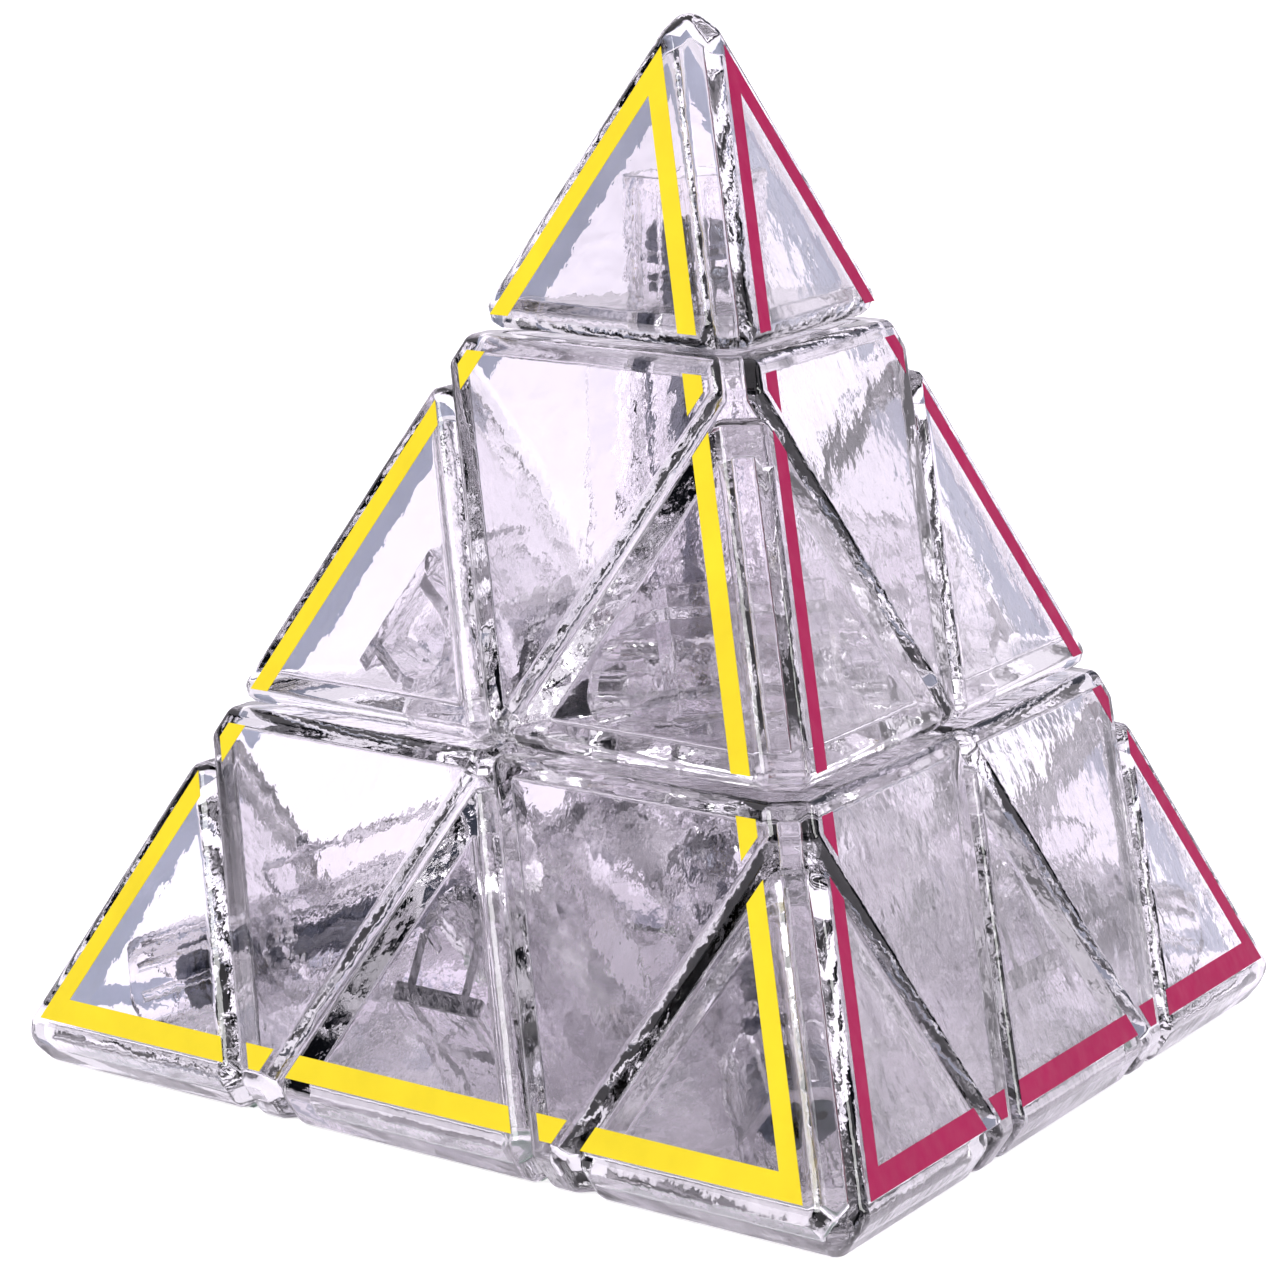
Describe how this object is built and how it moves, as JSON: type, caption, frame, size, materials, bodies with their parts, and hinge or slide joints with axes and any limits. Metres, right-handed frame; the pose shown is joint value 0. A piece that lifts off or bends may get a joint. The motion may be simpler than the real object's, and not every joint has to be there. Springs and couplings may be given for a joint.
{
  "type": "pyramid twisty puzzle",
  "caption": "Clear hollow tetrahedral twisty puzzle: corner tips, axial pieces and edge pieces turn on a sprung ball core, with a coloured outline on each face.",
  "frame": {"origin": "centre of the core ball, which is the centroid of the tetrahedron", "axes": "+Z towards the apex tip T; -Y towards the front base corner F; base corners L and R lie towards -X and +X"},
  "size_m": [0.101, 0.0877, 0.0827],
  "materials": {
    "clear_plastic": "clear, polished, very faint lavender tint",
    "inner_plastic": "clear, with the fine texture of an unpolished mould",
    "core_plastic": "clear, polished",
    "screw_steel": "bright zinc-plated steel",
    "spring_steel": "drawn spring wire",
    "outline_yellow": "printed border line, left face",
    "outline_red": "printed border line, right face",
    "outline_blue": "printed border line, back face, pale blue",
    "outline_green": "printed border line, base face, pale green"
  },
  "bodies": {
    "core": {"core": "core_plastic", "screw_T": "screw_steel", "washer_T": "screw_steel", "spring_T": "spring_steel", "screw_F": "screw_steel", "washer_F": "screw_steel", "spring_F": "spring_steel", "screw_L": "screw_steel", "washer_L": "screw_steel", "spring_L": "spring_steel", "screw_R": "screw_steel", "washer_R": "screw_steel", "spring_R": "spring_steel"},
    "axial_T": {"axial_shell_T": "clear_plastic", "axial_cap_T": "clear_plastic"},
    "tip_T": {"tip_cap_T": "clear_plastic", "tip_base_T": "clear_plastic"},
    "axial_F": {"axial_shell_F": "clear_plastic", "axial_cap_F": "clear_plastic"},
    "tip_F": {"tip_cap_F": "clear_plastic", "tip_base_F": "clear_plastic"},
    "axial_L": {"axial_shell_L": "clear_plastic", "axial_cap_L": "clear_plastic"},
    "tip_L": {"tip_cap_L": "clear_plastic", "tip_base_L": "clear_plastic"},
    "axial_R": {"axial_shell_R": "clear_plastic", "axial_cap_R": "clear_plastic"},
    "tip_R": {"tip_cap_R": "clear_plastic", "tip_base_R": "clear_plastic"},
    "edge_TF": {"edge_shell_TF": "clear_plastic", "edge_foot_TF": "inner_plastic"},
    "edge_TL": {"edge_shell_TL": "clear_plastic", "edge_foot_TL": "inner_plastic"},
    "edge_TR": {"edge_shell_TR": "clear_plastic", "edge_foot_TR": "inner_plastic"},
    "edge_FL": {"edge_shell_FL": "clear_plastic", "edge_foot_FL": "inner_plastic"},
    "edge_FR": {"edge_shell_FR": "clear_plastic", "edge_foot_FR": "inner_plastic"},
    "edge_LR": {"edge_shell_LR": "clear_plastic", "edge_foot_LR": "inner_plastic"}
  },
  "joints": [
    {"name": "layer_T", "type": "hinge", "parent": "core", "child": "axial_T", "pos_m": [0, 0, 0], "axis": [0, 0, 1], "continuous": true},
    {"name": "layer_F", "type": "hinge", "parent": "core", "child": "axial_F", "pos_m": [0, 0, 0], "axis": [0, -0.9428, -0.3333], "range_deg": [-360, 360]},
    {"name": "layer_L", "type": "hinge", "parent": "core", "child": "axial_L", "pos_m": [0, 0, 0], "axis": [-0.8165, 0.4714, -0.3333], "range_deg": [-360, 360]},
    {"name": "layer_R", "type": "hinge", "parent": "core", "child": "axial_R", "pos_m": [0, 0, 0], "axis": [0.8165, 0.4714, -0.3333], "range_deg": [-360, 360]},
    {"name": "tip_turn_T", "type": "hinge", "parent": "axial_T", "child": "tip_T", "pos_m": [0, 0, 0], "axis": [0, 0, 1], "continuous": true},
    {"name": "tip_turn_F", "type": "hinge", "parent": "axial_F", "child": "tip_F", "pos_m": [0, 0, 0], "axis": [0, -0.9428, -0.3333], "continuous": true},
    {"name": "tip_turn_L", "type": "hinge", "parent": "axial_L", "child": "tip_L", "pos_m": [0, 0, 0], "axis": [-0.8165, 0.4714, -0.3333], "continuous": true},
    {"name": "tip_turn_R", "type": "hinge", "parent": "axial_R", "child": "tip_R", "pos_m": [0, 0, 0], "axis": [0.8165, 0.4714, -0.3333], "continuous": true},
    {"name": "edge_turn_TF", "type": "hinge", "parent": "axial_T", "child": "edge_TF", "pos_m": [0, 0, 0], "axis": [0, -0.9428, -0.3333], "range_deg": [-360, 360]},
    {"name": "edge_turn_TL", "type": "hinge", "parent": "axial_T", "child": "edge_TL", "pos_m": [0, 0, 0], "axis": [-0.8165, 0.4714, -0.3333], "range_deg": [-360, 360]},
    {"name": "edge_turn_TR", "type": "hinge", "parent": "axial_T", "child": "edge_TR", "pos_m": [0, 0, 0], "axis": [0.8165, 0.4714, -0.3333], "range_deg": [-360, 360]},
    {"name": "edge_turn_FL", "type": "hinge", "parent": "axial_F", "child": "edge_FL", "pos_m": [0, 0, 0], "axis": [-0.8165, 0.4714, -0.3333], "range_deg": [-360, 360]},
    {"name": "edge_turn_FR", "type": "hinge", "parent": "axial_F", "child": "edge_FR", "pos_m": [0, 0, 0], "axis": [0.8165, 0.4714, -0.3333], "range_deg": [-360, 360]},
    {"name": "edge_turn_LR", "type": "hinge", "parent": "axial_L", "child": "edge_LR", "pos_m": [0, 0, 0], "axis": [0.8165, 0.4714, -0.3333], "range_deg": [-360, 360]}
  ],
  "couplings": [
    {"joint": "edge_turn_TF", "follows": "layer_F", "ratio": 1},
    {"joint": "edge_turn_TL", "follows": "layer_L", "ratio": 1},
    {"joint": "edge_turn_TR", "follows": "layer_R", "ratio": 1},
    {"joint": "edge_turn_FL", "follows": "layer_L", "ratio": 1},
    {"joint": "edge_turn_FR", "follows": "layer_R", "ratio": 1},
    {"joint": "edge_turn_LR", "follows": "layer_R", "ratio": 1}
  ]
}
